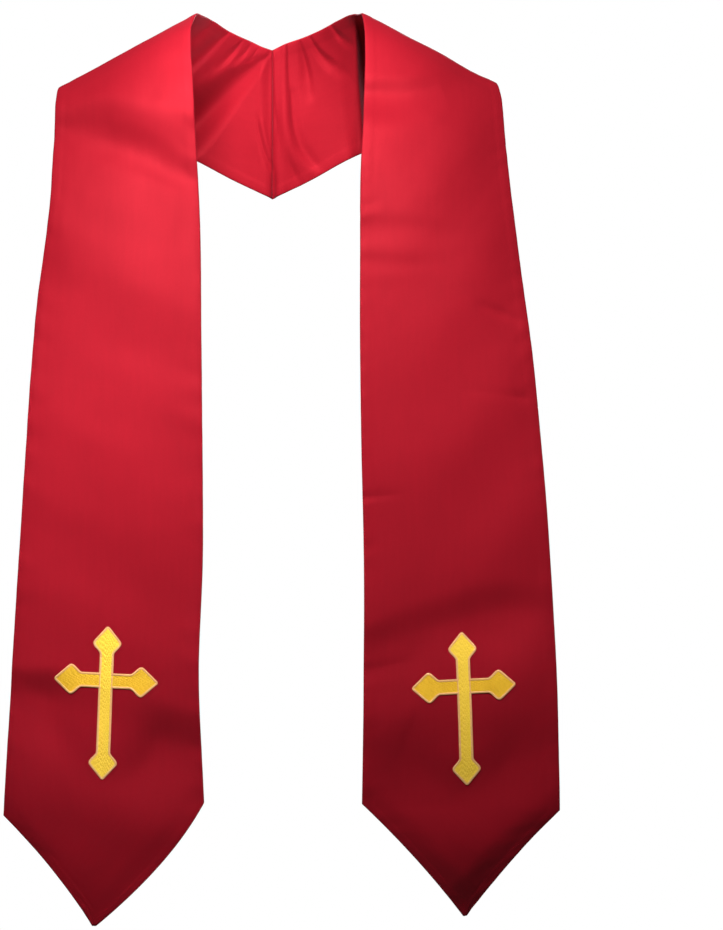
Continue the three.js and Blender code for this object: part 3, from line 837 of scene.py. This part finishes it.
def spindles(strip, cross, starts, ends, lift, half_width=THREAD_HALF_WIDTH):
    """Points and outward quads of many stitches, each a chain of rings that is closed at both ends.

    A ring's corners lie sideways and up from the stitch's line by the cosine and sine of their turn,
    times the thread's half-width and half-height. `lift` is the height of all lines above the satin.
    """
    line = ends - starts
    unit = line / np.linalg.norm(line, axis=1, keepdims=True)
    sideways = np.stack([-unit[:, 1], unit[:, 0]], axis=-1)
    turn = np.arange(RING) * np.pi / 2 + np.pi / 4
    wide = half_width * np.cos(turn)[None, :] * STITCH_GIRTH[:, None] * np.sqrt(2)
    high = THREAD_HALF_HEIGHT * (np.sin(turn)[None, :] * STITCH_GIRTH[:, None] + STITCH_RISE[:, None])
    centre = starts[:, None] + line[:, None] * STITCH_STOPS[None, :, None]
    flat = centre[:, :, None] + sideways[:, None, None] * wide[None, :, :, None]
    lifted = np.broadcast_to(lift + high[None], flat.shape[:3])
    points = on_panel(strip, cross, flat[..., 0], flat[..., 1], lifted).reshape(-1, 3)
    first = RING * np.arange(len(STITCH_STOPS) - 1)[:, None]  # the number of each ring's first corner
    corner = np.arange(RING)
    onward = (corner + 1) % RING
    sides = np.stack([first + corner, first + onward, first + RING + onward, first + RING + corner], axis=-1)
    caps = np.array([corner[::-1], RING * (len(STITCH_STOPS) - 1) + corner])
    one = np.concatenate([sides.reshape(-1, RING), caps])
    all_firsts = np.arange(len(starts))[:, None, None] * RING * len(STITCH_STOPS)
    return points, outward(points, (all_firsts + one[None]).reshape(-1, RING))


# %% [markdown]
# ## The fill
#
# The upright's threads run up and down, the arms' from side to side. A row of fill is one long line
# that is cut into stitches of one length.


# %% Rows of fill stitches
FILL_SEED = 5
ROW_PITCH = 0.44  # between rows
STITCH_LENGTH, SHORTEST_STITCH = 4.4, 0.8
FILL_INSET = 0.15  # the fill stops this far inside the outline
OUTLINE_STEP = 0.1  # how finely the outline is looked at


def brick_rows(half_width_at, low, high, spread):
    """Starts and ends of fill stitches along the second coordinate, row by row beside each other.

    Each row runs wherever the shape is wider than the row is off its middle; it is cut into stitches
    of one length, and each row starts at a place of its own, so that the ends make no pattern.
    """
    rng = np.random.default_rng(FILL_SEED)
    starts, ends = [], []
    along = np.arange(low, high, OUTLINE_STEP)
    width = half_width_at(along)
    for off in np.arange(-spread, spread, ROW_PITCH):
        inside = np.concatenate([[False], width > abs(off) + FILL_INSET, [False]])
        turns = np.flatnonzero(np.diff(inside.astype(int)))
        for a, b in zip(turns[::2], turns[1::2]):
            first, last = along[a], along[b - 1]
            shift = rng.uniform(0, STITCH_LENGTH)
            inner = np.arange(low + shift, last, STITCH_LENGTH)
            cuts = np.concatenate([[first], inner[inner > first + SHORTEST_STITCH], [last]])
            cuts = cuts[np.append(np.diff(cuts) > SHORTEST_STITCH, True)] if len(cuts) > 2 else cuts
            if last - first > SHORTEST_STITCH:
                starts += [(off, c) for c in cuts[:-1]]
                ends += [(off, c) for c in cuts[1:]]
    return np.array(starts), np.array(ends)


# %% [markdown]
# ## The edging
#
# A narrow edging of paler thread, sewn square to the outline, hides where the fill stitches end. Its
# stitches stand at equal steps along the outlines of the limbs.


# %% Edging stitches
EDGING_HALF = 0.9  # half the width of the edging
EDGING_PITCH = 0.4  # between stitches
CROSSING_SHARE = 0.6  # of that width, where the upright's edging crosses the arms
CROSSING_OVER = 0.5  # how far past the stem the crossing reaches sideways, and short of it up and down
OUTLINE_POINTS = 700
TINY = 1e-9  # keeps a cusp in the outline from dividing by zero


def evenly(path, pitch):
    """Points at equal steps along a path, and the unit direction that the path takes at each."""
    lengths = np.append(0, np.cumsum(np.linalg.norm(np.diff(path, axis=0), axis=1)))
    at = np.arange(0, lengths[-1], pitch)
    points = np.stack([np.interp(at, lengths, path[:, k]) for k in range(2)], axis=-1)
    ahead = np.stack([np.interp(at + pitch, lengths, path[:, k]) for k in range(2)], axis=-1)
    behind = np.stack([np.interp(at - pitch, lengths, path[:, k]) for k in range(2)], axis=-1)
    unit = (ahead - behind) / (np.linalg.norm(ahead - behind, axis=1, keepdims=True) + TINY)
    return points, unit


def limb_path(half_width_at, low, high):
    """Up one side of a shape and down the other, as (off the middle, along) pairs."""
    along = np.linspace(low, high, OUTLINE_POINTS)
    side = np.stack([half_width_at(along), along], axis=-1)
    return np.concatenate([side, (side * [-1, 1])[::-1]])


def edging_stitches():
    """Starts and ends of the edging: half its width either way from the outline, square to it.

    It is narrower where the upright's outline crosses the arms.
    """
    paths = [limb_path(upright_half_width, -REACH_DOWN, REACH_UP)]
    for hand in (-1, 1):
        paths.append(limb_path(arm_half_width, UPRIGHT["stem"], REACH_SIDEWAYS)[:, ::-1] * [hand, 1])
    middle, unit = (np.concatenate(part) for part in zip(*[evenly(path, EDGING_PITCH) for path in paths]))
    level, upright = np.abs(middle[:, 1]), np.abs(middle[:, 0])
    crossing = (level < ARM["stem"] - CROSSING_OVER) & (upright < UPRIGHT["stem"] + CROSSING_OVER)
    half = np.where(crossing, CROSSING_SHARE * EDGING_HALF, EDGING_HALF)[:, None]
    square = np.stack([-unit[:, 1], unit[:, 0]], axis=-1) * half
    return middle - square, middle + square


# %% [markdown]
# ## The whole cross
#
# Under the threads lies padding, a domed plate for each pair of limbs, so that no red shows between
# them; it is a darker gold, painted shade for the gaps between the stitches. The arms' threads lie on
# it first, the upright passes over them, and the edging covers the ends of both.


# %% Building a cross
PAD_LIFT, PAD_SINK = 0.3, -0.05  # the top of the dome and its underside, above the satin
PAD_INSET = 0.3  # how far it stops short of the limbs' points
PAD_ROWS, PAD_COLUMNS = 120, 13
ARM_LIFT, UPRIGHT_LIFT, EDGING_LIFT = PAD_LIFT + 0.08, PAD_LIFT + 0.22, PAD_LIFT + 0.3
ARM_TUCK = 3.5  # how far the arms' threads run in under the upright
EDGING_THREAD = 0.24  # half the width of its thread


def padding(strip, cross, half_width_at, low, high, order):
    """A thin domed plate: across a limb, the dome is PAD_LIFT * sqrt(1 - |share| ** 6).

    share runs from -1 at one edge of the limb to 1 at the other.
    """
    along = np.linspace(low + PAD_INSET, high - PAD_INSET, PAD_ROWS)
    share = np.linspace(-1, 1, PAD_COLUMNS)
    off = share[None] * half_width_at(along)[:, None]
    flat = np.stack([off, np.broadcast_to(along[:, None], off.shape)], axis=-1)[..., order]
    dome = PAD_LIFT * np.sqrt(1 - np.abs(share[None]) ** 6) * np.ones_like(off)
    top, bottom = (on_panel(strip, cross, flat[..., 0], flat[..., 1], lift)
                   for lift in (dome, np.full_like(off, PAD_SINK)))
    return shell(top, bottom)


def embroider(name, strip, cross, node):
    """All the pieces of one cross, in gold; the construction model's plate for it is hidden."""

    def keep(part, points, faces, material):
        piece = make_piece(f"{name}_cross_{part}", points, faces)
        piece.data.materials.append(material)
        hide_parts(node)

    starts, ends = brick_rows(upright_half_width, -REACH_DOWN, REACH_UP, UPRIGHT["bud"])
    keep("upright_threads", *spindles(strip, cross, starts, ends, UPRIGHT_LIFT), gold_upright)

    starts, ends = brick_rows(arm_half_width, -REACH_SIDEWAYS, REACH_SIDEWAYS, ARM["bud"])
    nearest = np.minimum(np.abs(starts[:, 1]), np.abs(ends[:, 1]))
    clear = (nearest > UPRIGHT["stem"] - ARM_TUCK) & (starts[:, 1] * ends[:, 1] > 0)
    starts, ends = starts[clear][:, ::-1], ends[clear][:, ::-1]
    # the arms' gold is painted shade: the upright's thread, darker and more orange
    keep("arm_threads", *spindles(strip, cross, starts, ends, ARM_LIFT), gold_arm_painted_shade)

    edging = spindles(strip, cross, *edging_stitches(), EDGING_LIFT, EDGING_THREAD)
    keep("edging", *edging, gold_edging)

    upright = padding(strip, cross, upright_half_width, -REACH_DOWN, REACH_UP, [0, 1])
    arms = padding(strip, cross, arm_half_width, -REACH_SIDEWAYS, REACH_SIDEWAYS, [1, 0])
    # the padding's darker gold is painted shade for the gaps between the stitches
    keep("upright_padding", *upright, gold_padding_painted_shade)
    keep("arm_padding", *arms, gold_padding_painted_shade)


# %% [markdown]
# ## Gold thread
#
# Rayon embroidery thread is glossy, and its fibres make every stitch glint along its length. The
# upright is the clearest yellow. The arms are the same thread, painted a darker, more orange gold as
# painted shade, because their threads lie the other way and take the light less. The padding under
# the stitches is a darker gold still, painted shade for the gaps between them. The edging is a
# paler, peachy gold.


# %% The thread's finishes
GOLD_GLINT = (1.0, 0.8, 0.35, 1)
OBJECT_COORDINATES = 3  # the number of that output


def thread(name, gold, shade, roughness):
    """Glossy thread: two golds in patches about a stitch long, with a little sheen."""
    finish = Finish(name, Sheen_Weight=0.05, Sheen_Roughness=0.3, Sheen_Tint=GOLD_GLINT,
                    Specular_IOR_Level=0.25, Specular_Tint=GOLD_GLINT)
    place = finish.node("ShaderNodeTexCoord", output=OBJECT_COORDINATES)
    patches = finish.node("ShaderNodeTexNoise", None, {"Vector": place, "Scale": 320.0, "Detail": 2.0})
    finish.feed("Base Color", finish.blend(patches, gold, shade))
    finish.feed("Roughness", roughness + 0.15 * patches)
    return finish.material


gold_upright = thread("gold_thread_upright", (0.93, 0.64, 0.07, 1), (0.85, 0.56, 0.045, 1), 0.42)
# painted shade: the upright's thread, darker and more orange for stitches that lie the other way
gold_arm_painted_shade = thread("gold_thread_arms_painted_shade", (0.85, 0.51, 0.03, 1), (0.76, 0.43, 0.02, 1), 0.42)
gold_edging = thread("gold_thread_edging", (0.82, 0.45, 0.20, 1), (0.72, 0.36, 0.14, 1), 0.45)
# painted shade: a darker gold for the gaps between the stitches
gold_padding_painted_shade = thread("gold_thread_padding_painted_shade", (0.66, 0.36, 0.03, 1), (0.50, 0.25, 0.02, 1), 0.5)

embroider("right", right_strip, RIGHT_CROSS, "right_cross")
embroider("left", left_strip, LEFT_CROSS, "left_cross")

# %% [markdown]
# ## The construction pieces that the layers replace
#
# Every layer of satin is a sheet: it was cut flat before it was sewn. The cut's width is that of the
# hem and its length runs from the tip of the hem to the long end of the mitre. Here the construction
# model's piece for each layer is hidden.

# %% Hiding the construction pieces that the layers replace
for piece, strip, node, slot in (
    (right_face, right_strip, "right_face", "satin"),
    (right_lining, right_strip, "right_lining", "satin_lining"),
    (left_face, left_strip, "left_face", "satin"),
    (left_lining, left_strip, "left_lining", "satin_lining"),
):
    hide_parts(node)

# %% [markdown]
# ## The studio
#
# The stole hangs in the air at the height of a wearer's shoulders, over a plain pale floor. The key is
# a soft light close above its front, so that the shoulders are bright and the hems fall into shade.
# Two narrow beams lift the middle of each panel a little. A third goes in behind the neck, a fourth
# rakes across the gathers there, and a broad light stands behind for the outside of the back.

# %% Floor, lights and world
FLOOR_BELOW = 1.42  # metres under the shoulders
FLOOR_SIZE = 5  # metres
SKY_SEEN, SKY_FELT = 1.0, 0.04  # how bright the sky looks, and how bright it is for the cloth


def soft_light(name, place, aim, size, power, spread):
    """A square area light that looks at a point, with a grid that narrows its beam to `spread` degrees."""
    lamp = bpy.data.objects.new(name, bpy.data.lights.new(name, "AREA"))
    lamp.data.size, lamp.data.energy, lamp.data.spread = size, power, np.radians(spread)
    lamp.location = place
    towards = np.array(aim) - np.array(place)
    flat = np.hypot(towards[0], towards[1])
    lamp.rotation_euler = (np.pi / 2 + np.arctan2(towards[2], flat), 0, np.arctan2(-towards[0], towards[1]))
    bpy.context.scene.collection.objects.link(lamp)
    return lamp


for light in (
    # name, where it stands, what it looks at, size in metres, power in watts, spread in degrees
    ("key", (-0.2, -1.12, 0.78), (-0.02, 0.0, -0.25), 0.45, 6.0, 57),
    ("left_panel_light", (-0.2, -1.0, 0.72), (-0.155, -0.09, -0.43), 0.15, 0.19, 15),
    ("right_panel_light", (0.1, -1.0, 0.72), (0.15, -0.09, -0.38), 0.15, 0.07, 15),
    ("neck_light", (0.1, -1.45, 0.3), (-0.01, 0.08, -0.06), 0.12, 0.19, 12),
    ("gather_light", (0.3, -1.4, -0.3), (-0.06, 0.05, 0.0), 0.06, 0.035, 5),
    ("back_light", (0.5, 1.9, 0.1), (0.0, 0.0, -0.2), 1.0, 8, 60),
):
    print("light:", soft_light(*light).name)

bpy.ops.mesh.primitive_plane_add(size=FLOOR_SIZE, location=(0, 0, -FLOOR_BELOW))
floor = bpy.context.object
floor.name = "floor"
floor_finish = Finish("pale_floor", Roughness=0.8, Emission_Strength=0.75)
floor_finish.feed("Base Color", (0.86, 0.86, 0.86, 1))
looked_at = floor_finish.node("ShaderNodeLightPath")
floor_finish.feed("Emission Color", floor_finish.blend(looked_at, (0.1, 0.1, 0.1, 1), (1, 1, 1, 1)))
floor.data.materials.append(floor_finish.material)

world = bpy.data.worlds.new("studio")
world.use_nodes = True
bpy.context.scene.world = world
sky = world.node_tree
backdrop = sky.nodes["Background"]
backdrop.inputs["Color"].default_value = (1, 1, 1, 1)
backdrop.inputs["Strength"].default_value = SKY_SEEN
fill = sky.nodes.new("ShaderNodeBackground")
fill.inputs["Strength"].default_value = SKY_FELT
seen = sky.nodes.new("ShaderNodeLightPath")
either = sky.nodes.new("ShaderNodeMixShader")
sky.links.new(seen.outputs["Is Camera Ray"], either.inputs[0])
sky.links.new(fill.outputs[0], either.inputs[1])
sky.links.new(backdrop.outputs[0], either.inputs[2])
sky.links.new(either.outputs[0], sky.nodes["World Output"].inputs[0])
bpy.context.scene.view_settings.view_transform = "Standard"
